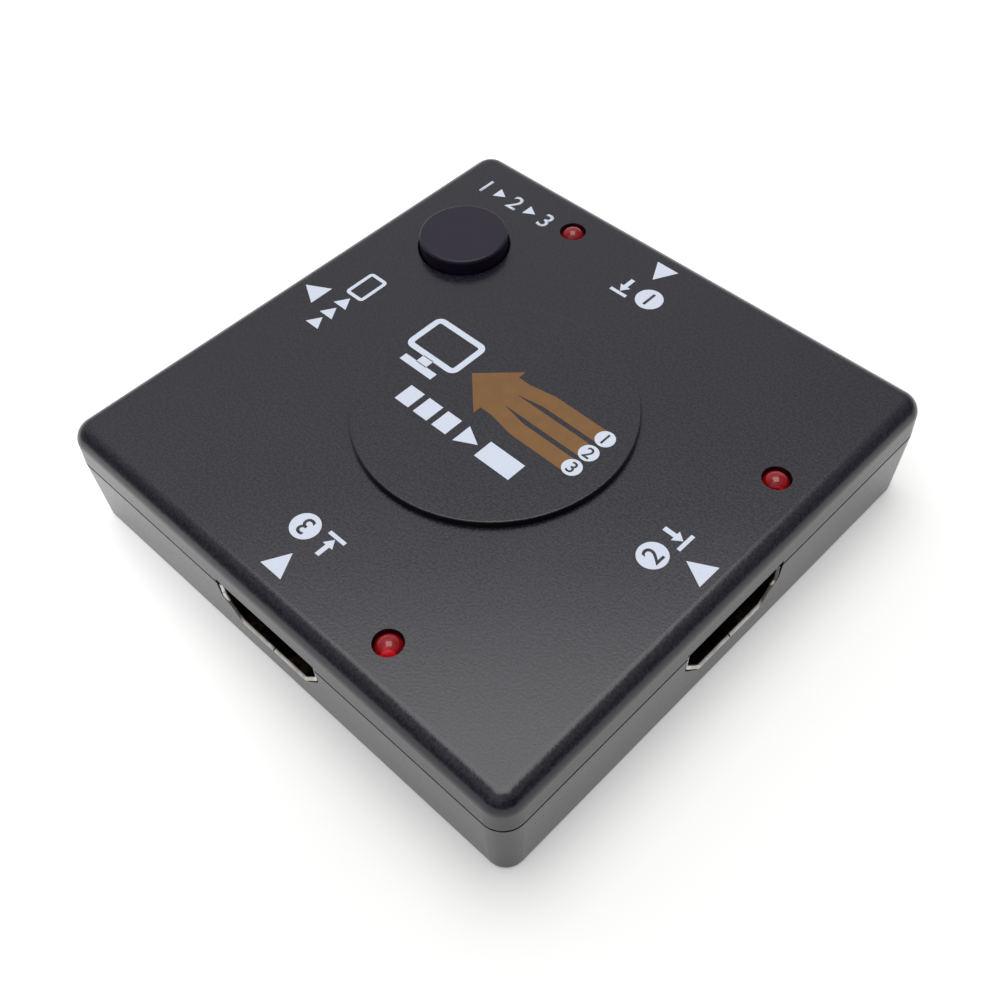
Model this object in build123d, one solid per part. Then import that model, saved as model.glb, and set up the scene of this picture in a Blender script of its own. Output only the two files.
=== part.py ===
from build123d import *
import os
from math import atan2, degrees, sqrt

# Case: a low square box in two half shells, origin at the centre of its underside
case_side = 65.0
case_height = 14.0
corner_radius = 2.6
top_round = 1.95
bottom_round = 0.5
top_draft = 0.1
bottom_draft = 0.5
round_limit_share = 0.9
side_wall = 1.75
top_plate = 1.8
floor_plate = 1.6
least_radius = 0.3

# Seam: a shadow gap between the half shells, backed by a lip on the top shell
seam_gap = 0.15
seam_bevel = 0.08
rim_wall = 0.85
seam_drop = 0.05
lip_depth = 1.2
lip_play = 0.05
lip_end_play = 0.3

# Raised disc in the middle of the top
disc_radius = 15.4
disc_height = 0.8
disc_round = 0.15

# Circuit board on low posts, clamped by the bosses of the top shell
board_lift = 1.65
board_thick = 1.2
board_play = 0.25
board_corner = 1.2
hole_play = 0.1
lead_stub = 0.25
pad_radius = 1.5
pad_inset = 6.5

# Case screws, one in each corner, driven from below
screw_inset = 5.2
screw_length = 7.5
screw_crest = 0.95
screw_core = 0.75
screw_pitch = 0.7
screw_play = 0.2
screw_grip = 0.02
screw_head_radius = 1.8
screw_head_height = 0.9
screw_head_round = 0.3
screw_head_play = 0.2
screw_sink = 0.15
drive_width = 0.4
drive_length = 1.9
drive_depth = 0.5
boss_radius = 2.2
bore_spare = 0.5

# Video sockets, one in the middle of each side
mouth_width = 14.0
mouth_height = 4.55
mouth_flat = 9.6
mouth_slant = 2.5
mouth_corner = 0.4
mouth_recess = 0.15
mouth_headroom = 0.45
mouth_lead_in = 0.18
socket_sheet = 0.3
socket_depth = 10.6
socket_play = 0.2
socket_leg_width = 1.0
socket_leg_root = 1.0
socket_leg_from_front = 3.0
socket_leg_from_back = 2.4
finger_width = 1.6
finger_length = 4.2
finger_slot = 0.3
finger_start = 1.4
finger_spread = 3.2
block_length = 3.6
block_from_back = 1.4
block_play = 0.03
tongue_front = 1.3
tongue_width = 11.9
tongue_thick = 1.1
tongue_rise = 2.0
tongue_bevel = 0.2
contact_count = 19
contact_spacing = 0.5
contact_width = 0.3
contact_thick = 0.15
contact_play = 0.02
contact_setback = 0.4
tail_gap = 0.2
tail_foot = 0.8
tail_window_rise = 0.8
tail_window_play = 0.25

# Turn of each socket about the upright axis, from the side that faces -Y
side_turns = {"in_1": 180, "in_2": 90, "in_3": 0, "out": 270}

# Indicator lights beside the three inputs: distance along the side, and in from it
light_places = {"in_1": 13.4, "in_2": 12.6, "in_3": 12.8}
light_inset = 5.3
light_radius = 1.5
light_height = 5.3
light_flange_radius = 1.9
light_flange = 1.0
light_proud = 0.35
light_play = 0.06
lead_side = 0.5
lead_spacing = 2.54
lead_count = 2

# Select button near the back left corner
button_from_left = 11.05
button_from_back = 15.7
button_radius = 5.25
button_play = 0.15
button_proud = 1.75
button_round = 0.35
button_wall = 1.0
button_crown = 1.2
button_flange = 0.8
button_flange_rim = 0.9
button_float = 0.1
button_stem_radius = 1.6
button_hole_bevel = 0.15
stem_gap = 0.05

# Push switch under the button
switch_side = 6.0
switch_base_height = 3.2
switch_cover_thick = 0.3
switch_height = 4.3
well_radius = 2.4
well_floor = 1.35
plunger_radius = 1.75
plunger_play = 0.1
plunger_flange_radius = 2.1
plunger_flange = 0.5
plunger_float = 0.05
plunger_nub_radius = 0.8
dome_radius = 2.2
dome_height = 0.6
dome_thick = 0.1
dome_gap = 0.02
switch_leg_width = 0.7
switch_leg_thick = 0.3
switch_leg_rise = 0.9
switch_leg_spread = 2.25

# Video switch chip in the middle of the board
chip_side = 10.0
chip_thick = 1.4
chip_bevel = 0.2
chip_lift = 0.1
chip_pin_count = 16
chip_pin_spacing = 0.5
chip_pin_width = 0.22
chip_pin_thick = 0.15
chip_pin_shoulder = 0.45
chip_pin_reach = 1.0
chip_pin_rise = 0.7

# Small logic chip
logic_length = 4.9
logic_width = 3.9
logic_thick = 1.45
logic_pin_count = 4
logic_pin_spacing = 1.27
logic_pin_width = 0.4
logic_place_shares = (-0.27, -0.23)

# Supply regulator
regulator_length = 4.5
regulator_width = 2.5
regulator_thick = 1.5
regulator_lead_spacing = 1.5
regulator_lead_width = 0.42
regulator_lead_count = 3
regulator_tab_width = 1.7
regulator_tab_reach = 0.9
regulator_tab_thick = 0.4
regulator_place_shares = (0.25, 0.32)

# Power diodes, one behind each input socket
diode_length = 2.8
diode_width = 1.8
diode_thick = 1.1
diode_lead_width = 0.9
diode_lead_thick = 0.2
diode_lead_shoulder = 0.3
diode_lead_reach = 0.6
diode_lead_rise = 0.3
diode_along = 9.6
diode_behind = 1.2

# Chip resistors and capacitors, in rows between the sockets and the switch chip
resistor_size = (0.8, 1.6, 0.45)
resistor_spacing = 1.3
resistor_count = 8
resistor_behind = 2.0
capacitor_size = (1.25, 2.0, 0.8)
capacitor_spacing = 2.6
capacitor_count = 4
capacitor_behind = 4.6
chip_part_bevel = 0.08

# Cutters pass the faces that they cut by this much
overrun = 1.0

# Heights and widths that follow from the sizes above
ceiling = case_height - top_plate
cavity_side = case_side - 2 * side_wall
board_bottom = floor_plate + board_lift
board_top = board_bottom + board_thick
board_side = cavity_side - 2 * board_play
stub_end = board_bottom - lead_stub
socket_outer_height = mouth_height + 2 * socket_sheet
seam_height = board_top + socket_outer_height - seam_drop
rim_height = seam_height - seam_gap
top_edge_round = min(top_round, round_limit_share * (case_height - seam_height - seam_bevel))
bottom_edge_round = min(bottom_round, round_limit_share * (rim_height - seam_bevel))
mouth_plane = case_side / 2 - mouth_recess
block_back = socket_depth - block_from_back
block_front = block_back - block_length
screw_seat = screw_sink + screw_head_height
screw_tip = screw_seat + screw_length
screw_half_spacing = case_side / 2 - screw_inset
button_place = (button_from_left - case_side / 2, case_side / 2 - button_from_back)
light_base = case_height + light_proud - light_height
light_out = case_side / 2 - light_inset
upright = (Align.CENTER, Align.CENTER, Align.MIN)


def slab(low, high):
    """A square-edged block between two opposite corners."""
    sizes = [top - bottom for bottom, top in zip(low, high)]
    return Pos(*low) * Box(*sizes, align=(Align.MIN, Align.MIN, Align.MIN))


def rod(radius, low, high):
    """An upright cylinder on the Z axis between two heights."""
    return Pos(0, 0, low) * Cylinder(radius, high - low, align=upright)


def rounded_block(side, radius, low, high):
    """An upright square block with round corners between two heights."""
    outline = RectangleRounded(side, side, max(radius, least_radius))
    return Pos(0, 0, low) * extrude(outline, amount=high - low)


def drafted_block(side, radius, draft, wide, narrow):
    """A square block with round corners, drawn in by the draft from its wide to its narrow end."""
    outline = RectangleRounded(side, side, radius)
    lean = degrees(atan2(draft, abs(narrow - wide)))
    return Pos(0, 0, wide) * extrude(outline, amount=narrow - wide, taper=lean)


def bevelled_block(draft, seam, far):
    """The outer form of a half shell: drafted away from its seam, whose edge is bevelled."""
    shoulder = seam + seam_bevel if far > seam else seam - seam_bevel
    body = drafted_block(case_side, corner_radius, draft, shoulder, far)
    return body + drafted_block(case_side, corner_radius, seam_bevel, shoulder, seam)


def top_edges(part):
    return part.faces().sort_by(Axis.Z)[-1].edges()


def bottom_edges(part):
    return part.faces().sort_by(Axis.Z)[0].edges()


def at_corners(part):
    """Four copies of a part, one on each screw axis."""
    signs = [(-1, -1), (1, -1), (1, 1), (-1, 1)]
    return [Pos(sx * screw_half_spacing, sy * screw_half_spacing, 0) * part for sx, sy in signs]


def on_side(part, side):
    """Turn a part that is drawn for the -Y side round to another side."""
    return Rot(0, 0, side_turns[side]) * part


def at_socket(part, side):
    """Place a part drawn from a socket's mouth: Y runs inwards, and Z = 0 is the board's top."""
    return on_side(Pos(0, -mouth_plane, board_top) * part, side)


def at_light(part, side):
    """Place a part drawn about the upright axis of the light beside an input."""
    return on_side(Pos(light_places[side], -light_out, 0) * part, side)


def at_button(part):
    return Pos(*button_place, 0) * part


def mouth_outline(grow):
    """A socket's opening seen from outside, wide side up, grown outwards by a distance."""
    wide = mouth_width / 2
    flat = mouth_flat / 2
    right = [(flat, 0), (wide, mouth_slant), (wide, mouth_height)]
    left = [(-x, y) for x, y in reversed(right)]
    outline = Pos(0, socket_sheet) * make_face(Polyline(*right, *left, close=True))
    outline = fillet(outline.vertices(), mouth_corner)
    return offset(outline, amount=grow) if grow else outline


def along_depth(outline, start, end):
    """Sweep a socket outline inwards from one depth behind the mouth to another."""
    return Rot(90, 0, 0) * Pos(0, 0, -end) * extrude(outline, amount=end - start)


def bent_lead(width, rise, shoulder, reach, thick):
    """A flat lead drawn outwards along Y: a shoulder at a height, a drop, and a foot at Z = 0."""
    profile = [
        (0, rise),
        (shoulder - thick, rise),
        (shoulder - thick, 0),
        (reach, 0),
        (reach, thick),
        (shoulder, thick),
        (shoulder, rise + thick),
        (0, rise + thick),
    ]
    face = Plane.YZ * make_face(Polyline(*profile, close=True))
    return Pos(-width / 2, 0, 0) * extrude(face, amount=width)


def row_places(count, spacing):
    """Evenly spaced places about zero."""
    return [(i - (count - 1) / 2) * spacing for i in range(count)]


# Half shells

def notch_width():
    return mouth_width + 2 * (socket_sheet + socket_play)


def socket_notch():
    """The space that the wall leaves for a socket, open towards the seam."""
    wall_inside = side_wall - mouth_recess
    around = along_depth(
        mouth_outline(socket_sheet + socket_play), -mouth_recess - overrun, wall_inside + overrun
    )
    above = slab(
        (-notch_width() / 2, -mouth_recess - overrun, mouth_slant + socket_sheet),
        (notch_width() / 2, wall_inside + overrun, rim_height - board_top + overrun),
    )
    return around + above


def lip():
    """A ring under the top shell's wall, with a gap at each socket."""
    outer_side = case_side - 2 * (rim_wall + lip_play)
    low = seam_height - lip_depth
    ring = rounded_block(outer_side, corner_radius - rim_wall - lip_play, low, seam_height)
    ring -= rounded_block(cavity_side, corner_radius - side_wall, low - overrun, seam_height + overrun)
    half_gap = notch_width() / 2 + lip_end_play
    gap = slab((-half_gap, -case_side / 2, low - overrun), (half_gap, 0, seam_height + overrun))
    return ring - [on_side(gap, side) for side in side_turns]


def top_shell():
    shell = bevelled_block(top_draft, seam_height, case_height)
    shell = fillet(top_edges(shell), top_edge_round)
    shell -= rounded_block(cavity_side, corner_radius - side_wall, seam_height - overrun, ceiling)
    shell += lip()
    disc = rod(disc_radius, ceiling, case_height + disc_height)
    shell += fillet(top_edges(disc), disc_round)
    boss = rod(boss_radius, board_top, ceiling)
    bore = rod(screw_crest + screw_grip, board_top - overrun, screw_tip + bore_spare)
    for part in at_corners(boss):
        shell += part
    for part in at_corners(bore):
        shell -= part
    hole_radius = button_radius + button_play
    rim = Cone(hole_radius, hole_radius + button_hole_bevel, button_hole_bevel, align=upright)
    shell -= at_button(rod(hole_radius, ceiling - overrun, case_height + overrun))
    shell -= at_button(Pos(0, 0, case_height - button_hole_bevel) * rim)
    hole = rod(light_radius + light_play, ceiling - overrun, case_height + overrun)
    for side in light_places:
        shell -= at_light(hole, side)
    notch = slab(
        (-notch_width() / 2, -case_side / 2 - overrun, seam_height - overrun),
        (
            notch_width() / 2,
            side_wall + overrun - case_side / 2,
            board_top + socket_outer_height + mouth_headroom,
        ),
    )
    for side in side_turns:
        shell -= on_side(notch, side)
    return shell


def bottom_shell():
    shell = bevelled_block(bottom_draft, rim_height, 0)
    shell = fillet(bottom_edges(shell), bottom_edge_round)
    shell -= rounded_block(cavity_side, corner_radius - side_wall, floor_plate, rim_height + overrun)
    step_side = case_side - 2 * rim_wall
    step_low = seam_height - lip_depth - seam_gap
    shell -= rounded_block(step_side, corner_radius - rim_wall, step_low, rim_height + overrun)
    for side in side_turns:
        shell -= at_socket(socket_notch(), side)
        pad_out = board_side / 2 - pad_inset
        shell += on_side(Pos(0, -pad_out, 0) * rod(pad_radius, floor_plate / 2, board_bottom), side)
    for post in at_corners(rod(boss_radius, floor_plate / 2, board_bottom)):
        shell += post
    passage = rod(screw_crest + screw_play, 0, board_bottom + overrun)
    head_well = rod(screw_head_radius + screw_head_play, -overrun, screw_seat)
    for cut in at_corners(passage + head_well):
        shell -= cut
    return shell


def case_screw():
    """A pan head, and a shank whose thread is drawn as a row of rings."""
    head = rod(screw_head_radius, screw_sink, screw_seat)
    head = fillet(bottom_edges(head), screw_head_round)
    for turn in (0, 90):
        arm = slab(
            (-drive_length / 2, -drive_width / 2, screw_sink - overrun),
            (drive_length / 2, drive_width / 2, screw_sink + drive_depth),
        )
        head -= Rot(0, 0, turn) * arm
    rings = int((screw_length - screw_pitch) / screw_pitch)
    profile = [(0, screw_seat), (screw_core, screw_seat)]
    for i in range(rings):
        start = screw_seat + i * screw_pitch
        profile.append((screw_crest, start + screw_pitch / 2))
        profile.append((screw_core, start + screw_pitch))
    profile.append((0, screw_tip))
    return head + revolve(Plane.XZ * make_face(Polyline(*profile, close=True)), Axis.Z)


# Circuit board

def circuit_board():
    board = rounded_block(board_side, board_corner, board_bottom, board_top)
    low = board_bottom - overrun
    high = board_top + overrun
    cuts = at_corners(rod(screw_crest + screw_play, low, high))
    for side in side_turns:
        cuts += [at_socket(slot, side) for slot in socket_legs(hole_play, overrun)]
    for side in light_places:
        for x in row_places(lead_count, lead_spacing):
            hole = rod(lead_side / sqrt(2) + hole_play, low, high)
            cuts.append(at_light(Pos(x, 0, 0) * hole, side))
    cuts += [at_button(Pos(0, 0, board_top) * slot) for slot in switch_legs(hole_play, overrun)]
    for cut in cuts:
        board -= cut
    return board


# Video sockets, drawn from the mouth inwards

def socket_legs(grow, past):
    """The four legs of a socket's shell, or with growth the slots that they pass through."""
    legs = []
    for depth in (socket_leg_from_front, socket_depth - socket_leg_from_back):
        for sign in (-1, 1):
            near = sign * mouth_width / 2
            far = sign * (mouth_width / 2 + socket_sheet)
            low = (min(near, far) - grow, depth - socket_leg_width / 2 - grow)
            high = (max(near, far) + grow, depth + socket_leg_width / 2 + grow)
            foot = stub_end - board_top - past
            root = mouth_slant + socket_sheet + socket_leg_root
            legs.append(slab((*low, foot), (*high, root)))
    return legs


def finger_slots():
    """Cutters for the spring fingers in the roof and the floor of a socket's shell."""
    cutters = []
    low = -overrun
    high = socket_outer_height + overrun
    end = finger_start + finger_length
    for sign in (-1, 1):
        middle = sign * finger_spread
        left = middle - finger_width / 2
        right = middle + finger_width / 2
        cutters.append(slab((left - finger_slot, finger_start, low), (left, end + finger_slot, high)))
        cutters.append(slab((right, finger_start, low), (right + finger_slot, end + finger_slot, high)))
        cutters.append(slab((left - finger_slot, end, low), (right + finger_slot, end + finger_slot, high)))
    return cutters


def socket_shell():
    """A bent sheet-metal sleeve with a back plate, spring fingers and four legs."""
    shell = along_depth(mouth_outline(socket_sheet), 0, socket_depth)
    shell -= along_depth(mouth_outline(0), -overrun, socket_depth - socket_sheet)
    front = shell.faces().sort_by(Axis.Y)[0]
    shell = chamfer(front.inner_wires()[0].edges(), mouth_lead_in)
    for cutter in finger_slots():
        shell -= cutter
    for leg in socket_legs(0, 0):
        shell += leg
    half_window = (contact_count - 1) * contact_spacing / 2 + contact_width / 2 + tail_window_play
    shell -= slab(
        (-half_window, block_back, -overrun), (half_window, socket_depth + overrun, tail_window_rise)
    )
    return shell


def contact_levels():
    """Each contact's place across the tongue and its height: the odd ones lie on top."""
    below = socket_sheet + tongue_rise - contact_thick
    above = socket_sheet + tongue_rise + tongue_thick
    places = row_places(contact_count, contact_spacing)
    return [(x, above if i % 2 == 0 else below) for i, x in enumerate(places)]


def socket_insulator():
    """The plastic block at the back of a socket, with the tongue that carries the contacts."""
    block = along_depth(mouth_outline(-block_play), block_front, block_back)
    low = socket_sheet + tongue_rise
    tongue = slab(
        (-tongue_width / 2, tongue_front, low), (tongue_width / 2, block_front, low + tongue_thick)
    )
    tongue = chamfer(tongue.faces().sort_by(Axis.Y)[0].edges(), tongue_bevel)
    block += tongue
    passages = []
    for x, level in contact_levels():
        half = contact_width / 2 + contact_play
        passages.append(
            slab(
                (x - half, block_front, level - contact_play),
                (x + half, block_back + overrun, level + contact_thick + contact_play),
            )
        )
    return block - passages


def socket_contacts():
    """Gilded strips on the tongue, led through the block and down to the board."""
    start = tongue_front + contact_setback
    shoulder = block_back + tail_gap + contact_thick - start
    reach = socket_depth + tail_foot - start
    return [
        Pos(x, start, 0) * bent_lead(contact_width, level, shoulder, reach, contact_thick)
        for x, level in contact_levels()
    ]


# Indicator lights

def light_body():
    """A round-nosed lamp body with a flange at its base."""
    nose = light_base + light_height - light_radius
    flange = rod(light_flange_radius, light_base, light_base + light_flange)
    return flange + rod(light_radius, light_base, nose) + Pos(0, 0, nose) * Sphere(light_radius)


def light_leads():
    half = lead_side / 2
    return [
        slab((x - half, -half, stub_end), (x + half, half, light_base))
        for x in row_places(lead_count, lead_spacing)
    ]


# Select button and the push switch under it

def plunger_top():
    return board_top + switch_height


def select_button():
    """A hollow cap with a flange that the top shell holds back, and a stem on the switch."""
    flange_high = ceiling - button_float
    flange_low = flange_high - button_flange
    top = case_height + button_proud
    cap = rod(button_radius, flange_low, top)
    cap = fillet(top_edges(cap), button_round)
    cap += rod(button_radius + button_flange_rim, flange_low, flange_high)
    cap -= rod(button_radius - button_wall, flange_low - overrun, top - button_crown)
    return cap + rod(button_stem_radius, plunger_top() + stem_gap, top - button_crown / 2)


def switch_base():
    half = switch_side / 2
    base = slab((-half, -half, board_top), (half, half, board_top + switch_base_height))
    well = rod(well_radius, board_top + well_floor, board_top + switch_base_height + overrun)
    return base - well


def switch_cover():
    half = switch_side / 2
    low = board_top + switch_base_height
    cover = slab((-half, -half, low), (half, half, low + switch_cover_thick))
    return cover - rod(plunger_radius + plunger_play, low - overrun, low + overrun)


def switch_plunger():
    high = board_top + switch_base_height - plunger_float
    low = high - plunger_flange
    nub_low = board_top + well_floor + dome_height + dome_gap
    plunger = rod(plunger_radius, low, plunger_top())
    plunger += rod(plunger_flange_radius, low, high)
    return plunger + rod(plunger_nub_radius, nub_low, low)


def switch_dome():
    """A thin round cap of spring metal that clicks when the plunger pushes it down."""
    ball = (dome_radius**2 + dome_height**2) / (2 * dome_height)
    low = board_top + well_floor
    centre = Pos(0, 0, low + dome_height - ball)
    cap = centre * Sphere(ball) - centre * Sphere(ball - dome_thick)
    return cap & rod(dome_radius, low, low + dome_height + overrun)


def switch_legs(grow, past):
    """The four legs of the push switch, or with growth the slots that they pass through."""
    legs = []
    for sign in (-1, 1):
        for y in (-switch_leg_spread, switch_leg_spread):
            near = sign * switch_side / 2
            far = sign * (switch_side / 2 + switch_leg_thick)
            low = (min(near, far) - grow, y - switch_leg_width / 2 - grow)
            high = (max(near, far) + grow, y + switch_leg_width / 2 + grow)
            foot = stub_end - board_top - past
            legs.append(slab((*low, foot), (*high, switch_leg_rise)))
    return legs


# Parts on the board

def chip_body(length, width, thick):
    body = slab((-length / 2, -width / 2, 0), (length / 2, width / 2, thick))
    return Pos(0, 0, board_top + chip_lift) * chamfer(top_edges(body), chip_bevel)


def chip_pins(out, count, spacing, width):
    """A row of bent pins that leaves the -Y side of a chip body."""
    pin = Rot(0, 0, 180) * bent_lead(
        width, chip_pin_rise, chip_pin_shoulder, chip_pin_reach, chip_pin_thick
    )
    return [Pos(x, -out, board_top) * pin for x in row_places(count, spacing)]


def switch_chip_pins():
    row = chip_pins(chip_side / 2, chip_pin_count, chip_pin_spacing, chip_pin_width)
    return [on_side(pin, side) for side in side_turns for pin in row]


def logic_chip_pins():
    row = chip_pins(logic_width / 2, logic_pin_count, logic_pin_spacing, logic_pin_width)
    return row + [Rot(0, 0, 180) * pin for pin in row]


def regulator_leads():
    out = regulator_width / 2
    row = chip_pins(out, regulator_lead_count, regulator_lead_spacing, regulator_lead_width)
    tab = slab(
        (-regulator_tab_width / 2, out, board_top),
        (regulator_tab_width / 2, out + regulator_tab_reach, board_top + regulator_tab_thick),
    )
    return row + [tab]


def diode_body():
    body = slab((-diode_length / 2, -diode_width / 2, 0), (diode_length / 2, diode_width / 2, diode_thick))
    return Pos(0, 0, chip_lift) * chamfer(top_edges(body), chip_bevel)


def diode_leads():
    lead = bent_lead(
        diode_lead_width, diode_lead_rise, diode_lead_shoulder, diode_lead_reach, diode_lead_thick
    )
    return [Rot(0, 0, turn) * Pos(0, diode_length / 2, 0) * lead for turn in (90, 270)]


def behind_socket(distance):
    """A depth from the mouth, counted from the ends of the contacts' feet."""
    return socket_depth + tail_foot + distance


def at_diode(part, side):
    return at_socket(Pos(diode_along, behind_socket(diode_behind), 0) * part, side)


def part_row(size, spacing, count, behind):
    """A row of block-shaped chip parts across the way from a socket to the switch chip."""
    length, depth, height = size
    body = slab((-length / 2, -depth / 2, 0), (length / 2, depth / 2, height))
    body = chamfer(top_edges(body), chip_part_bevel)
    return [Pos(x, behind_socket(behind), 0) * body for x in row_places(count, spacing)]


def at_share(parts, shares):
    """Place parts at shares of the board's side."""
    x, y = [share * board_side for share in shares]
    return [Pos(x, y, 0) * part for part in parts]


# Nodes

nodes = {
    "top_shell": [top_shell()],
    "bottom_shell": [bottom_shell()],
    "case_screws": at_corners(case_screw()),
    "circuit_board": [circuit_board()],
    "select_button": [at_button(select_button())],
    "switch_base": [at_button(switch_base())],
    "switch_cover": [at_button(switch_cover())],
    "switch_plunger": [at_button(switch_plunger())],
    "switch_dome": [at_button(switch_dome())],
    "switch_legs": [at_button(Pos(0, 0, board_top) * leg) for leg in switch_legs(0, 0)],
    "switch_chip": [chip_body(chip_side, chip_side, chip_thick)],
    "switch_chip_pins": switch_chip_pins(),
    "logic_chip": at_share([chip_body(logic_length, logic_width, logic_thick)], logic_place_shares),
    "logic_chip_pins": at_share(logic_chip_pins(), logic_place_shares),
    "regulator": at_share(
        [chip_body(regulator_length, regulator_width, regulator_thick)], regulator_place_shares
    ),
    "regulator_leads": at_share(regulator_leads(), regulator_place_shares),
    "power_diodes": [at_diode(diode_body(), side) for side in light_places],
    "power_diode_leads": [at_diode(lead, side) for side in light_places for lead in diode_leads()],
}

shell, insulator, contacts = socket_shell(), socket_insulator(), socket_contacts()
for side in side_turns:
    nodes[side + "_socket_shell"] = [at_socket(shell, side)]
    nodes[side + "_socket_insulator"] = [at_socket(insulator, side)]
    nodes[side + "_socket_contacts"] = [at_socket(contact, side) for contact in contacts]

for side in light_places:
    nodes[side + "_light"] = [at_light(light_body(), side)]
    nodes[side + "_light_leads"] = [at_light(lead, side) for lead in light_leads()]

resistors = part_row(resistor_size, resistor_spacing, resistor_count, resistor_behind)
nodes["chip_resistors"] = [at_socket(part, side) for side in light_places for part in resistors]
capacitors = part_row(capacitor_size, capacitor_spacing, capacitor_count, capacitor_behind)
nodes["chip_capacitors"] = [at_socket(part, side) for side in side_turns for part in capacitors]

os.makedirs("parts", exist_ok=True)
for name, solids in nodes.items():
    export_step(Compound(children=solids), f"parts/{name}.step")
print(f"{len(nodes)} nodes written")
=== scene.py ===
from math import cos, pi, radians, sin, sqrt

import bmesh
import bpy
from mathutils import Matrix, Vector


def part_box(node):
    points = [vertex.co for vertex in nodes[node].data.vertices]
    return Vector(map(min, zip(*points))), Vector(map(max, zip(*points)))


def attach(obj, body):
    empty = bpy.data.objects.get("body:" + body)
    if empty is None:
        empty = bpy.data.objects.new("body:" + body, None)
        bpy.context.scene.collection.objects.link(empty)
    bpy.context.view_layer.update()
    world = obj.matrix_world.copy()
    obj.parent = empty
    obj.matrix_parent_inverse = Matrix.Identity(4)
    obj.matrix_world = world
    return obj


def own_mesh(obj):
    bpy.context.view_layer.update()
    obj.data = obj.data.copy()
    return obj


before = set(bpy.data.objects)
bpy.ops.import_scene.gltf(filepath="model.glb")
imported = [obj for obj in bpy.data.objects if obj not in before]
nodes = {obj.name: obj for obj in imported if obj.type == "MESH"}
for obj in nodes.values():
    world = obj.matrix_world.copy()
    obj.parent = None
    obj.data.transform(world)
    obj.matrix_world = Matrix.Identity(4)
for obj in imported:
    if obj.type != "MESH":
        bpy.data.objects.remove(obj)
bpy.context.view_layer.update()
mm = 0.001


# Camera
# It stands close in front of the corner between inputs 2 and 3 and looks down on the top.
# Its place, lens and slight roll were fitted to the straight edges of the case.

disc_height = 0.8 * mm
disc_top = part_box("top_shell")[1].z
flat_top = disc_top - disc_height
eye = Vector((64.71 * mm, -61.73 * mm, flat_top + 97.5 * mm))
azimuth, elevation, roll = radians(46.30), radians(51.54), radians(-2.86)
to_camera = Vector((sin(azimuth) * cos(elevation), -cos(azimuth) * cos(elevation), sin(elevation)))
level = Vector((0, 0, 1)).cross(to_camera).normalized()
upright = to_camera.cross(level)
columns = (
    cos(roll) * level + sin(roll) * upright,
    cos(roll) * upright - sin(roll) * level,
    to_camera,
)
camera_lens = bpy.data.cameras.new("camera")
camera_lens.lens = 44.97
camera_lens.sensor_width = 36
camera_lens.clip_start = 5 * mm
camera = bpy.data.objects.new("camera", camera_lens)
camera.matrix_world = Matrix.Translation(eye) @ Matrix(columns).transposed().to_4x4()
bpy.context.scene.collection.objects.link(camera)
bpy.context.scene.camera = camera
bpy.context.scene.view_settings.view_transform = "Standard"


# Shader maths, used by the world and by every finish
# A Number is a node's output that takes part in plain sums; a Shader holds one node tree
# and makes all of its nodes.

class Number:
    def __init__(self, shader, socket):
        self.shader = shader
        self.socket = socket

    def __add__(self, other):
        return self.shader.maths("ADD", self, other)

    def __radd__(self, other):
        return self.shader.maths("ADD", other, self)

    def __sub__(self, other):
        return self.shader.maths("SUBTRACT", self, other)

    def __rsub__(self, other):
        return self.shader.maths("SUBTRACT", other, self)

    def __mul__(self, other):
        return self.shader.maths("MULTIPLY", self, other)

    def __rmul__(self, other):
        return self.shader.maths("MULTIPLY", other, self)

    def __pow__(self, other):
        return self.shader.maths("POWER", self, other)

    def step(self, start, end):
        """0 below start, 1 above end and smooth between them; start may be the larger."""
        return self.shader.node(
            "ShaderNodeMapRange",
            {"interpolation_type": "SMOOTHSTEP"},
            {"Value": self, "From Min": start, "From Max": end},
        )


class Shader:
    def __init__(self, owner):
        owner.use_nodes = True
        self.owner = owner
        self.nodes = owner.node_tree.nodes
        self.links = owner.node_tree.links

    def feed(self, socket, value):
        if isinstance(value, Number):
            self.links.new(value.socket, socket)
        else:
            socket.default_value = value

    def node(self, kind, settings=None, inputs=None, output=0):
        made = self.nodes.new(kind)
        for name, value in (settings or {}).items():
            setattr(made, name, value)
        for name, value in (inputs or {}).items():
            self.feed(made.inputs[name], value)
        return Number(self, made.outputs[output])

    def maths(self, operation, first, second):
        return self.node("ShaderNodeMath", {"operation": operation}, {0: first, 1: second})

    def mix(self, factor, first, second):
        """Colours, from first at factor 0 to second at factor 1."""
        return self.node(
            "ShaderNodeMix", {"data_type": "RGBA"}, {0: factor, 6: first, 7: second}, output=2
        )

    def noise(self, size, detail=2, rough=0.5):
        """Soft noise from 0 to 1 whose lumps are about this large, in metres."""
        return self.node(
            "ShaderNodeTexNoise",
            None,
            {"Vector": self.place(), "Scale": 1 / size, "Detail": detail, "Roughness": rough},
        )

    def place(self):
        return self.node("ShaderNodeTexCoord", None, None, "Object")

    def axes(self, vector):
        """The X, Y and Z of a vector."""
        split = self.node("ShaderNodeSeparateXYZ", None, {0: vector}).socket.node
        return [Number(self, output) for output in split.outputs]

    def bump(self, height, depth):
        """A bumped normal: height runs from 0 to 1, over a depth in metres."""
        return self.node("ShaderNodeBump", None, {"Height": height, "Distance": depth, "Strength": 1})


def finish(name, **sockets):
    """A new material; sockets are the Principled shader's own, with _ for a space."""
    shader = Shader(bpy.data.materials.new(name))
    shader.principled = shader.nodes["Principled BSDF"]
    set_sockets(shader, **sockets)
    return shader


def set_sockets(shader, **sockets):
    for socket, value in sockets.items():
        shader.feed(shader.principled.inputs[socket.replace("_", " ")], value)


# Stage
# A white card floor that glows more to the left, a large soft box overhead and a faint one in
# front. The dim room is bright along the floor line, above, and behind on the left, and darker in
# front, which draws the dark bands along the rounded edges. The camera sees white behind the card.

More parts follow.
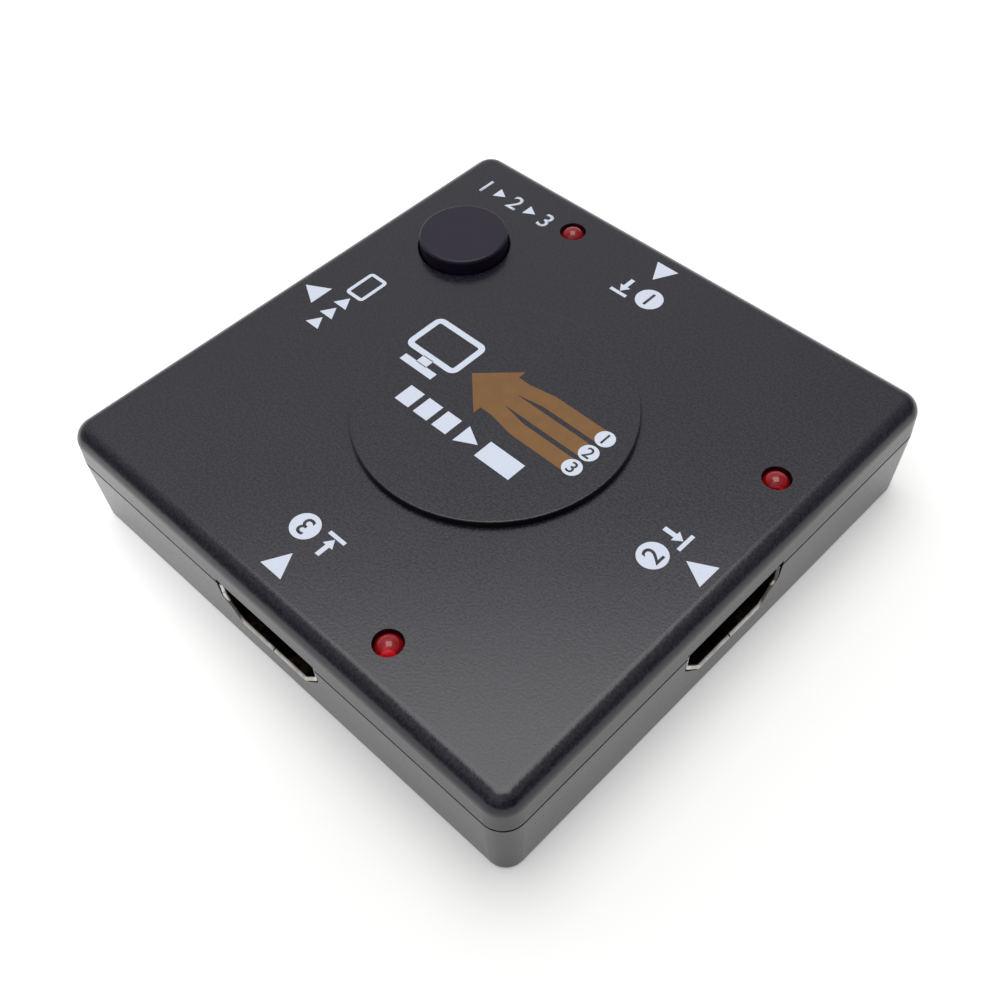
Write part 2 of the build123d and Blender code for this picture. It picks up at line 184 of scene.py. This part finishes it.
floor_half = 3
card = bmesh.new()
bmesh.ops.create_grid(card, x_segments=1, y_segments=1, size=floor_half)
floor_mesh = bpy.data.meshes.new("floor")
card.to_mesh(floor_mesh)
card.free()
floor = bpy.data.objects.new("floor", floor_mesh)
bpy.context.scene.collection.objects.link(floor)

floor_card = finish(
    "floor_card", Base_Color=(0.82, 0.82, 0.81, 1), Roughness=0.9, Specular_IOR_Level=0.1
)
floor_mesh.materials.append(floor_card.owner)
floor_rays = floor_card.nodes.new("ShaderNodeLightPath").outputs
seen = Number(floor_card, floor_rays["Is Camera Ray"])
seen = seen + Number(floor_card, floor_rays["Is Glossy Ray"])
seen = seen + Number(floor_card, floor_rays["Is Transmission Ray"])
leftwards = floor_card.axes(floor_card.place())[0].step(20 * mm, -60 * mm)
glow = 0.28 + 0.38 * leftwards
set_sockets(floor_card, Emission_Color=seen * glow, Emission_Strength=1)

world = bpy.data.worlds.new("room")
bpy.context.scene.world = world
room = Shader(world)
direction = room.node("ShaderNodeTexCoord", None, None, "Generated")
x, y, z = room.axes(direction)
horizon = z.step(0.12, 0.02)
behind = (0.53 * y - 0.85 * x).step(0.3, 0.75)
before = ((y - x) * sqrt(0.5)).step(-0.3, -0.75)
aloft = z.step(0.52, 0.75)
radiance = 0.2 + 0.65 * horizon + 0.45 * behind + 0.25 * aloft - 0.16 * before
backdrop = Number(room, room.nodes.new("ShaderNodeLightPath").outputs["Is Camera Ray"])
room_light = room.nodes["Background"]
room.feed(room_light.inputs["Strength"], radiance + backdrop * (1 - radiance))
room_light.inputs["Color"].default_value = (1, 1, 1, 1)


def soft_box(name, direction, distance, side, radiance):
    """A square area lamp that faces the object, with the radiance of its surface."""
    lamp = bpy.data.lights.new(name, "AREA")
    lamp.shape = "SQUARE"
    lamp.size = side
    lamp.energy = radiance * pi * side * side
    box = bpy.data.objects.new(name, lamp)
    towards = Vector(direction).normalized()
    box.location = towards * distance
    box.rotation_mode = "QUATERNION"
    box.rotation_quaternion = towards.to_track_quat("Z", "Y")
    bpy.context.scene.collection.objects.link(box)


soft_box("overhead", (-0.12, 0.12, 0.985), distance=1.2, side=0.9, radiance=3.3)
soft_box("front_fill", (0.2, -0.85, 0.9), distance=2.4, side=2.4, radiance=0.35)


# Case
# Two moulded half shells of charcoal plastic, screwed together from below. The tool's spark
# texture leaves a fine even grain, and handling leaves faint smoother patches. The side wall of
# the raised disc is painted near-black below its edge as shade.

def dress(material, *names):
    for name in names:
        nodes[name].material_slots[0].material = material.owner


case_plastic = finish("case_plastic", IOR=1.5)
grain = case_plastic.noise(0.28 * mm, detail=3, rough=0.6).step(0.38, 0.62)
patches = case_plastic.noise(9 * mm)
x, y, z = case_plastic.axes(case_plastic.place())
from_axis = (x * x + y * y) ** 0.5
disc_radius = 15.4 * mm
# Painted shade: a thin band of the disc's side wall, just below its top edge, is painted near-black.
disc_side_shade = from_axis.step(disc_radius - 0.1 * mm, disc_radius - 0.04 * mm)
disc_side_shade = disc_side_shade * from_axis.step(disc_radius + 0.1 * mm, disc_radius + 0.04 * mm)
disc_side_shade = disc_side_shade * z.step(disc_top - 0.12 * mm, disc_top - 0.2 * mm)
charcoal = case_plastic.mix(grain, (0.0052, 0.0043, 0.0110, 1), (0.0158, 0.0148, 0.0245, 1))
set_sockets(
    case_plastic,
    Base_Color=case_plastic.mix(disc_side_shade, charcoal, (0.001, 0.001, 0.001, 1)),
    Roughness=0.19 + 0.05 * patches + 0.04 * grain,
    Normal=case_plastic.bump(grain, 0.003 * mm),
)
dress(case_plastic, "top_shell", "bottom_shell")


# Case screws
# Four pan-head screws, black zinc over steel, with a little bare metal showing through the zinc.

screw_steel = finish("screw_steel", Metallic=1)
plating = screw_steel.noise(0.35 * mm, detail=4, rough=0.6)
set_sockets(
    screw_steel,
    Base_Color=screw_steel.mix(plating.step(0.6, 0.8), (0.075, 0.075, 0.08, 1), (0.2, 0.2, 0.2, 1)),
    Roughness=0.28 + 0.2 * plating,
    Normal=screw_steel.bump(plating, 0.002 * mm),
)
dress(screw_steel, "case_screws")


# Select button
# A turned-looking cap of smoother, darker plastic. Its face is polished a little by use.

button_plastic = finish("button_plastic", IOR=1.38, Specular_Tint=(0.86, 0.84, 1, 1))
grain = button_plastic.noise(0.15 * mm, detail=2)
patches = button_plastic.noise(4 * mm)
set_sockets(
    button_plastic,
    Base_Color=button_plastic.mix(patches, (0.009, 0.0062, 0.016, 1), (0.015, 0.0105, 0.024, 1)),
    Roughness=0.3 + 0.1 * patches + 0.04 * grain,
    Normal=button_plastic.bump(grain, 0.004 * mm),
)
dress(button_plastic, "select_button")


# Video sockets
# Each is a sleeve of nickel plated sheet, a black plastic body with a tongue, and 19 gilded
# contacts. The sleeve's lip is bright, its pale nickel partly a painted highlight, with a joint in
# the middle of its lower edge; one end of each sleeve is blotched dark brown. Behind the lip and
# along its top edge the metal is painted dark as shade.

sides = ("in_1", "in_2", "in_3", "out")
socket_metal = finish("socket_metal")
haze = socket_metal.noise(1.6 * mm, detail=3)
marks = socket_metal.noise(0.09 * mm, detail=2)
x, y, z = socket_metal.axes(socket_metal.place())
reach = socket_metal.maths("MAXIMUM", x * x, y * y) ** 0.5
across = socket_metal.maths("MINIMUM", x * x, y * y) ** 0.5
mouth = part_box("in_2_socket_shell")[1]
# Painted shade: the metal deeper than the lip and along the mouth's top edge is painted dark.
shade_behind_lip = reach.step(mouth.x - 0.22 * mm, mouth.x - 0.36 * mm)
shade_under_roof = z.step(mouth.z - 0.5 * mm, mouth.z - 0.35 * mm)
painted_shade = socket_metal.maths("MAXIMUM", shade_behind_lip, shade_under_roof)
lower_edge = z.step(mouth.z - 2.8 * mm, mouth.z - 3 * mm)
joint = across.step(0.12 * mm, 0.06 * mm) * lower_edge
# Nickel, its pale end raised partly as a painted highlight on the bright lip.
nickel_and_highlight = socket_metal.mix(haze.step(0.4, 0.6), (0.72, 0.66, 0.58, 1), (0.96, 0.94, 0.88, 1))
# One end of each sleeve gets dark brown blotches.
blotch_from, blotch_to = 37 * mm, 37.6 * mm
blotched_end = ((x + y) * (x + y)).step(blotch_from ** 2, blotch_to ** 2)
nickel_and_highlight = socket_metal.mix(blotched_end * haze.step(0.62, 0.52), nickel_and_highlight, (0.10, 0.075, 0.07, 1))
# The colour of the painted shade inside the mouth, near-black to dark brown.
painted_inside_shade = socket_metal.mix(haze.step(0.45, 0.7), (0.02, 0.015, 0.013, 1), (0.10, 0.075, 0.06, 1))
plating_and_shade = socket_metal.mix(painted_shade, nickel_and_highlight, painted_inside_shade)
set_sockets(
    socket_metal,
    Base_Color=socket_metal.mix(joint, plating_and_shade, (0.02, 0.02, 0.02, 1)),
    Metallic=0.3 + 0.7 * painted_shade,
    Roughness=0.25 + 0.15 * haze,
    Normal=socket_metal.bump(marks, 0.002 * mm),
)
dress(socket_metal, *[side + "_socket_shell" for side in sides])

socket_plastic = finish("socket_plastic", IOR=1.5)
fibres = socket_plastic.noise(0.12 * mm, detail=2)
set_sockets(
    socket_plastic,
    Base_Color=socket_plastic.mix(fibres, (0.010, 0.010, 0.011, 1), (0.022, 0.022, 0.024, 1)),
    Roughness=0.42 + 0.12 * fibres,
    Normal=socket_plastic.bump(fibres, 0.003 * mm),
)
dress(socket_plastic, *[side + "_socket_insulator" for side in sides])

contact_gold = finish("contact_gold", Metallic=1)
wear = contact_gold.noise(0.8 * mm, detail=3)
set_sockets(
    contact_gold,
    Base_Color=contact_gold.mix(wear, (0.83, 0.58, 0.20, 1), (0.90, 0.70, 0.34, 1)),
    Roughness=0.18 + 0.12 * wear,
)
dress(contact_gold, *[side + "_socket_contacts" for side in sides])


# Indicator lights
# Three small lamps of red tinted epoxy stand on the board and show through holes in the top.

light_sides = sides[:3]
light_resin = finish("light_resin", IOR=1.5, Transmission_Weight=0.65)
swirl = light_resin.noise(0.9 * mm)
set_sockets(
    light_resin,
    Base_Color=light_resin.mix(swirl, (0.62, 0.006, 0.014, 1), (0.76, 0.010, 0.020, 1)),
    Roughness=0.03 + 0.03 * swirl,
)
dress(light_resin, *[side + "_light" for side in light_sides])


# Push switch under the button
# A black moulded base and plunger, under a cover of bright spring sheet with a snap dome inside,
# which flattens to half its height as the button goes down.

switch_plastic = finish("switch_plastic", IOR=1.5)
fibres = switch_plastic.noise(0.1 * mm, detail=2)
set_sockets(
    switch_plastic,
    Base_Color=switch_plastic.mix(fibres, (0.020, 0.020, 0.021, 1), (0.038, 0.038, 0.040, 1)),
    Roughness=0.45 + 0.12 * fibres,
    Normal=switch_plastic.bump(fibres, 0.003 * mm),
)
dress(switch_plastic, "switch_base")

plunger_plastic = finish("plunger_plastic", IOR=1.5)
flow = plunger_plastic.noise(0.5 * mm, detail=2)
set_sockets(
    plunger_plastic,
    Base_Color=plunger_plastic.mix(flow, (0.014, 0.014, 0.014, 1), (0.026, 0.025, 0.024, 1)),
    Roughness=0.3 + 0.15 * flow,
)
dress(plunger_plastic, "switch_plunger")

switch_metal = finish("switch_metal", Metallic=1)
rolling = switch_metal.noise(0.12 * mm, detail=3)
set_sockets(
    switch_metal,
    Base_Color=switch_metal.mix(rolling, (0.56, 0.56, 0.54, 1), (0.68, 0.68, 0.66, 1)),
    Roughness=0.2 + 0.12 * rolling,
    Normal=switch_metal.bump(rolling, 0.002 * mm),
)
dress(switch_metal, "switch_cover", "switch_dome")
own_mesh(nodes["switch_dome"])


# Circuit board
# Glass laminate under green solder mask, with the weave faint under it and bare tan edges. The
# chips, diodes, resistors and capacitors on it are black epoxy, dark glaze and tan ceramic.

board_laminate = finish("board_laminate", IOR=1.52)
x, y = board_laminate.axes(board_laminate.place())[:2]
thread_pitch = 0.6 * mm
threads = 2 * pi / thread_pitch
warp = board_laminate.maths("SINE", x * threads, 0)
weft = board_laminate.maths("SINE", y * threads, 0)
weave = 0.25 * (warp + weft) + 0.5
clouds = board_laminate.noise(3 * mm)
mask_green = board_laminate.mix(weave, (0.008, 0.060, 0.024, 1), (0.014, 0.085, 0.034, 1))
normal = board_laminate.node("ShaderNodeNewGeometry", None, None, "Normal")
upwards = board_laminate.axes(normal)[2]
edge = (upwards * upwards).step(0.6, 0.4)
set_sockets(
    board_laminate,
    Base_Color=board_laminate.mix(edge, mask_green, (0.42, 0.33, 0.16, 1)),
    Roughness=0.22 + 0.1 * clouds + 0.4 * edge,
    Normal=board_laminate.bump(weave, 0.004 * mm),
)
dress(board_laminate, "circuit_board")

chip_epoxy = finish("chip_epoxy", IOR=1.5)
filler = chip_epoxy.noise(0.06 * mm, detail=3, rough=0.7)
set_sockets(
    chip_epoxy,
    Base_Color=chip_epoxy.mix(filler, (0.012, 0.012, 0.013, 1), (0.030, 0.030, 0.032, 1)),
    Roughness=0.5 + 0.15 * filler,
    Normal=chip_epoxy.bump(filler, 0.006 * mm),
)
dress(chip_epoxy, "switch_chip", "logic_chip", "regulator", "power_diodes")

resistor_ceramic = finish("resistor_ceramic", IOR=1.55)
glaze = resistor_ceramic.noise(0.4 * mm, detail=2)
set_sockets(
    resistor_ceramic,
    Base_Color=resistor_ceramic.mix(glaze, (0.022, 0.022, 0.027, 1), (0.040, 0.040, 0.046, 1)),
    Roughness=0.16 + 0.1 * glaze,
)
dress(resistor_ceramic, "chip_resistors")

capacitor_ceramic = finish("capacitor_ceramic", IOR=1.6)
firing = capacitor_ceramic.noise(0.3 * mm, detail=3)
set_sockets(
    capacitor_ceramic,
    Base_Color=capacitor_ceramic.mix(firing, (0.29, 0.19, 0.11, 1), (0.40, 0.28, 0.18, 1)),
    Roughness=0.35 + 0.15 * firing,
    Normal=capacitor_ceramic.bump(firing, 0.003 * mm),
)
dress(capacitor_ceramic, "chip_capacitors")


# Metal leads and legs, all tin plated
# The lamp leads, the legs of the push switch and the pins of the chips share a dull tin.

tinned_metal = finish("tinned_metal", Metallic=1)
crystals = tinned_metal.noise(0.25 * mm, detail=3)
set_sockets(
    tinned_metal,
    Base_Color=tinned_metal.mix(crystals, (0.62, 0.62, 0.60, 1), (0.74, 0.74, 0.72, 1)),
    Roughness=0.28 + 0.16 * crystals,
    Normal=tinned_metal.bump(crystals, 0.002 * mm),
)
dress(
    tinned_metal,
    "switch_legs",
    "switch_chip_pins",
    "logic_chip_pins",
    "regulator_leads",
    "power_diode_leads",
    *[side + "_light_leads" for side in light_sides],
)


# Lead frames inside the lamps
# In each lamp two tinned posts rise from the leads: one ends in a small cup that holds the
# chip, the other in a flag beside it. The red resin is cast round them.

# two opposite corners of the foot and the post under the cup, then of those of the flag
posts = (
    ((-1.5, -0.25, 0.1), (-0.2, 0.25, 0.6)),
    ((-0.6, -0.25, 0.6), (-0.2, 0.25, 2.6)),
    ((0.45, -0.25, 0.1), (1.5, 0.25, 0.6)),
    ((0.45, -0.2, 0.6), (0.8, 0.2, 3.0)),
)
cup_middle = (-0.2, 0, 2.95)
cup_wall = 0.08 * mm
cup_hollow = 0.35 * mm
frames = bmesh.new()


def block(shape, low, high, place):
    """An upright square post or bar between two opposite corners, in millimetres."""
    size = Matrix.Diagonal([high[i] - low[i] for i in range(3)]).to_4x4()
    middle = Matrix.Translation([(high[i] + low[i]) / 2 for i in range(3)])
    bmesh.ops.create_cube(shape, size=1, matrix=place @ middle @ size)


for side in light_sides:
    low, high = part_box(side + "_light")
    turn = 90 if side == "in_2" else 0
    middle = Matrix.Translation(((low.x + high.x) / 2, (low.y + high.y) / 2, low.z))
    stand = middle @ Matrix.Rotation(radians(turn), 4, "Z") @ Matrix.Scale(mm, 4)
    for corners in posts:
        block(frames, *corners, stand)
    cup = bmesh.ops.create_cone(
        frames,
        cap_ends=True,
        segments=24,
        radius1=0.35,
        radius2=0.55,
        depth=0.7,
        matrix=stand @ Matrix.Translation(cup_middle),
    )
    cup_faces = {face for vert in cup["verts"] for face in vert.link_faces}
    rim = max(cup_faces, key=lambda face: face.calc_center_median().z)
    bmesh.ops.inset_individual(frames, faces=[rim], thickness=cup_wall, depth=0)
    bmesh.ops.translate(frames, vec=(0, 0, -cup_hollow), verts=rim.verts)
    to_middle = Matrix.Translation(-rim.calc_center_median())
    bmesh.ops.scale(frames, vec=(0.8, 0.8, 1), verts=rim.verts, space=to_middle)
bmesh.ops.recalc_face_normals(frames, faces=frames.faces[:])
mesh = bpy.data.meshes.new("light_frames")
frames.to_mesh(mesh)
frames.free()
mesh.materials.append(tinned_metal.owner)
light_frames = bpy.data.objects.new("light_frames", mesh)
bpy.context.scene.collection.objects.link(light_frames)
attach(light_frames, "case")


# Printed marks on the flat top
# Pale blue-white ink, pad printed: a numbered spot, an arrow and a small sign at each input, an
# arrow and a sign at the output, and the order of the inputs beside the select button. Every
# place and size of a mark is in millimetres.

ink_rise = 0.015 * mm
ink_sink = 0.01 * mm

print_white = finish("print_white", IOR=1.48)
speckle = print_white.noise(0.16 * mm, detail=3, rough=0.7)
gaps = speckle.step(0.66, 0.74)
ink = print_white.mix(speckle, (0.62, 0.68, 0.82, 1), (0.74, 0.79, 0.90, 1))
set_sockets(
    print_white,
    Base_Color=print_white.mix(gaps, ink, (0.2, 0.2, 0.22, 1)),
    Roughness=0.42 + 0.15 * speckle,
    Normal=print_white.bump(speckle, 0.004 * mm),
)

print_dark = finish("print_dark", Base_Color=(0.03, 0.03, 0.035, 1), Roughness=0.45, IOR=1.5)


def placed(x, y, turn):
    """From a mark's own flat frame to its place on the top, in millimetres and degrees."""
    place = Matrix.Translation((x * mm, y * mm, 0))
    return place @ Matrix.Rotation(radians(turn), 4, "Z") @ Matrix.Scale(mm, 4)


def outline(points):
    """A flat face with this outline, in millimetres."""
    shape = bmesh.new()
    shape.faces.new([shape.verts.new((x, y, 0)) for x, y in points])
    return shape


def bar(width, height, x=0):
    """A block round a place on the X axis."""
    left, right = x - width / 2, x + width / 2
    low, high = -height / 2, height / 2
    return outline([(left, low), (right, low), (right, high), (left, high)])


def arrow_head(width, height):
    """A triangle that points along +X, with the middle of its base at the origin."""
    return outline([(0, -width / 2), (height, 0), (0, width / 2)])


def round_spot(radius):
    shape = bmesh.new()
    bmesh.ops.create_circle(shape, cap_ends=True, segments=64, radius=radius)
    return shape


def frame_outline(width, height, corner, line):
    """A rounded frame: a block with round corners, inset and its middle taken away."""
    shape = bar(width, height)
    bmesh.ops.bevel(
        shape,
        geom=shape.verts[:],
        offset=corner,
        affect="VERTICES",
        segments=6,
        profile=0.5,
        material=-1,
    )
    middle = shape.faces[:]
    bmesh.ops.inset_region(
        shape, faces=middle, thickness=line, use_even_offset=True, use_boundary=True
    )
    bmesh.ops.delete(shape, geom=middle, context="FACES_ONLY")
    return shape


numeral_share = 0.73


def written(text, height, bold):
    """Numerals in Blender's own plain font, centred, as flat faces.

    A numeral stands numeral_share of the font's size high, and bold is what its lines gain."""
    curve = bpy.data.curves.new(text, "FONT")
    curve.body = text
    curve.size = height / numeral_share
    curve.align_x = "CENTER"
    curve.align_y = "CENTER"
    curve.offset = bold
    holder = bpy.data.objects.new(text, curve)
    shape = bmesh.new()
    flat = bpy.data.meshes.new_from_object(holder)
    shape.from_mesh(flat)
    bpy.data.objects.remove(holder)
    bpy.data.curves.remove(curve)
    bpy.data.meshes.remove(flat)
    bmesh.ops.remove_doubles(shape, verts=shape.verts[:], dist=0.0005)
    low = Vector([min(vert.co[i] for vert in shape.verts) for i in range(3)])
    high = Vector([max(vert.co[i] for vert in shape.verts) for i in range(3)])
    bmesh.ops.translate(shape, vec=-(low + high) / 2, verts=shape.verts[:])
    return shape


def printed(name, marks, base, material):
    """One layer of ink from flat marks: each lies on the height base and gets ink's thickness."""
    layer = bmesh.new()
    for shape, place in marks:
        bmesh.ops.transform(shape, matrix=place, verts=shape.verts[:])
        flat = bpy.data.meshes.new("mark")
        shape.to_mesh(flat)
        shape.free()
        layer.from_mesh(flat)
        bpy.data.meshes.remove(flat)
    for vert in layer.verts:
        vert.co.z = base - ink_sink
    raised = bmesh.ops.extrude_face_region(layer, geom=layer.faces[:], use_keep_orig=True)
    top = [item for item in raised["geom"] if isinstance(item, bmesh.types.BMVert)]
    bmesh.ops.translate(layer, vec=(0, 0, ink_sink + ink_rise), verts=top)
    bmesh.ops.recalc_face_normals(layer, faces=layer.faces[:])
    mesh = bpy.data.meshes.new(name)
    layer.to_mesh(mesh)
    layer.free()
    mesh.materials.append(material.owner)
    piece = bpy.data.objects.new(name, mesh)
    bpy.context.scene.collection.objects.link(piece)
    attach(piece, "case")


arrow_height = 2.82
# each input: centre of its spot, place and way of its arrow, place and turn of its sign
inputs = {
    "1": ((0.98, 24.16), (-0.87, 29.79), -90, (-2.44, 24.05), 0),
    "2": ((24.21, -3.2), (29.79, -1.52), 180, (24.32, 0.11), 90),
    "3": ((-3.12, -23.62), (-1.5, -29.41), 90, (0.33, -23.73), 180),
}
white, dark = [], []
for number, (spot, base, way, sign, turn) in inputs.items():
    white.append((round_spot(1.63), placed(*spot, 0)))
    white.append((arrow_head(3.03, arrow_height), placed(*base, way)))
    for shape in (bar(1.4, 0.55, -0.7), arrow_head(1.4, 1.0), bar(0.45, 2.3, 1.3)):
        white.append((shape, placed(*sign, turn - 90)))
    dark.append((written(number, 2.15, 0.02), placed(*spot, turn)))
white.append((arrow_head(3.18, arrow_height), placed(-27.3, -0.57, 180)))
out_sign_x = -24.5
for i in range(3):
    white.append((arrow_head(2.05, 1.65), placed(out_sign_x, -4.5 + 2.1 * i, 90)))
white.append((frame_outline(4.3, 2.8, 0.55, 0.45), placed(out_sign_x, 3.9, -90)))
order_y, order_pitch = 26.5, 5.0
for i, number in enumerate("123"):
    white.append((written(number, 2.5, 0.03), placed(-27.2 + order_pitch * i, order_y, 0)))
for i in range(2):
    white.append((arrow_head(1.65, 1.4), placed(-25.35 + order_pitch * i, order_y, 0)))
printed("white_print", white, flat_top, print_white)
printed("number_print", dark, flat_top + ink_rise, print_dark)


# Printed marks on the raised disc
# White ink for the screen on the left and for the row below it; bronze-gold ink, a little
# metallic, for the three ribbons that run into one arrow, with the inputs' numbers on them.

print_gold = finish("print_gold", Metallic=0.25, IOR=1.5)
speckle = print_gold.noise(0.16 * mm, detail=3, rough=0.7)
clouds = print_gold.noise(1.2 * mm)
bronze = print_gold.mix(clouds, (0.16, 0.072, 0.014, 1), (0.22, 0.10, 0.022, 1))
set_sockets(
    print_gold,
    Base_Color=print_gold.mix(speckle.step(0.66, 0.74), bronze, (0.06, 0.04, 0.03, 1)),
    Roughness=0.4 + 0.15 * speckle,
    Normal=print_gold.bump(speckle, 0.004 * mm),
)


def ribbon(width, places):
    """A flat band of even upright width along a few places."""
    upper = [(x, y + width / 2) for x, y in places]
    lower = [(x, y - width / 2) for x, y in reversed(places)]
    return outline(upper + lower)


gold, white, dark = [], [], []
ribbon_middle, ribbon_pitch, ribbon_width = 1.8, 2.55, 1.95
arrow_base, spots_x = -0.95, 11.6
for i in (-1, 0, 1):
    apart = ribbon_middle + i * ribbon_pitch
    merged = ribbon_middle + i * ribbon_width
    route = [(12.2, apart), (3.9, apart), (0.65, merged), (arrow_base, merged)]
    gold.append((ribbon(ribbon_width, route), placed(0, 0, 0)))
    white.append((round_spot(1.1), placed(spots_x, apart, 0)))
    dark.append((written(str(2 - i), 1.5, 0.02), placed(spots_x, apart, 0)))
gold.append((arrow_head(8.0, 4.2), placed(arrow_base, ribbon_middle, 180)))
screen_x = -10.2
white.append((frame_outline(7.6, 5.6, 1.0, 0.75), placed(screen_x, 2.9, 0)))
white.append((bar(1.5, 1.2), placed(screen_x, -0.4, 0)))
white.append((bar(4.8, 1.0), placed(screen_x, -1.4, 0)))
row_y, row_height = -5.05, 2.5
for i in range(3):
    white.append((bar(2.05, row_height), placed(-7.65 + 2.8 * i, row_y, 0)))
white.append((arrow_head(2.6, 2.4), placed(0.1, row_y, 0)))
white.append((bar(4.8, row_height), placed(5.6, row_y, 0)))
printed("disc_gold_print", gold, disc_top, print_gold)
printed("disc_white_print", white, disc_top + ink_rise / 2, print_white)
printed("disc_number_print", dark, disc_top + 1.5 * ink_rise, print_dark)
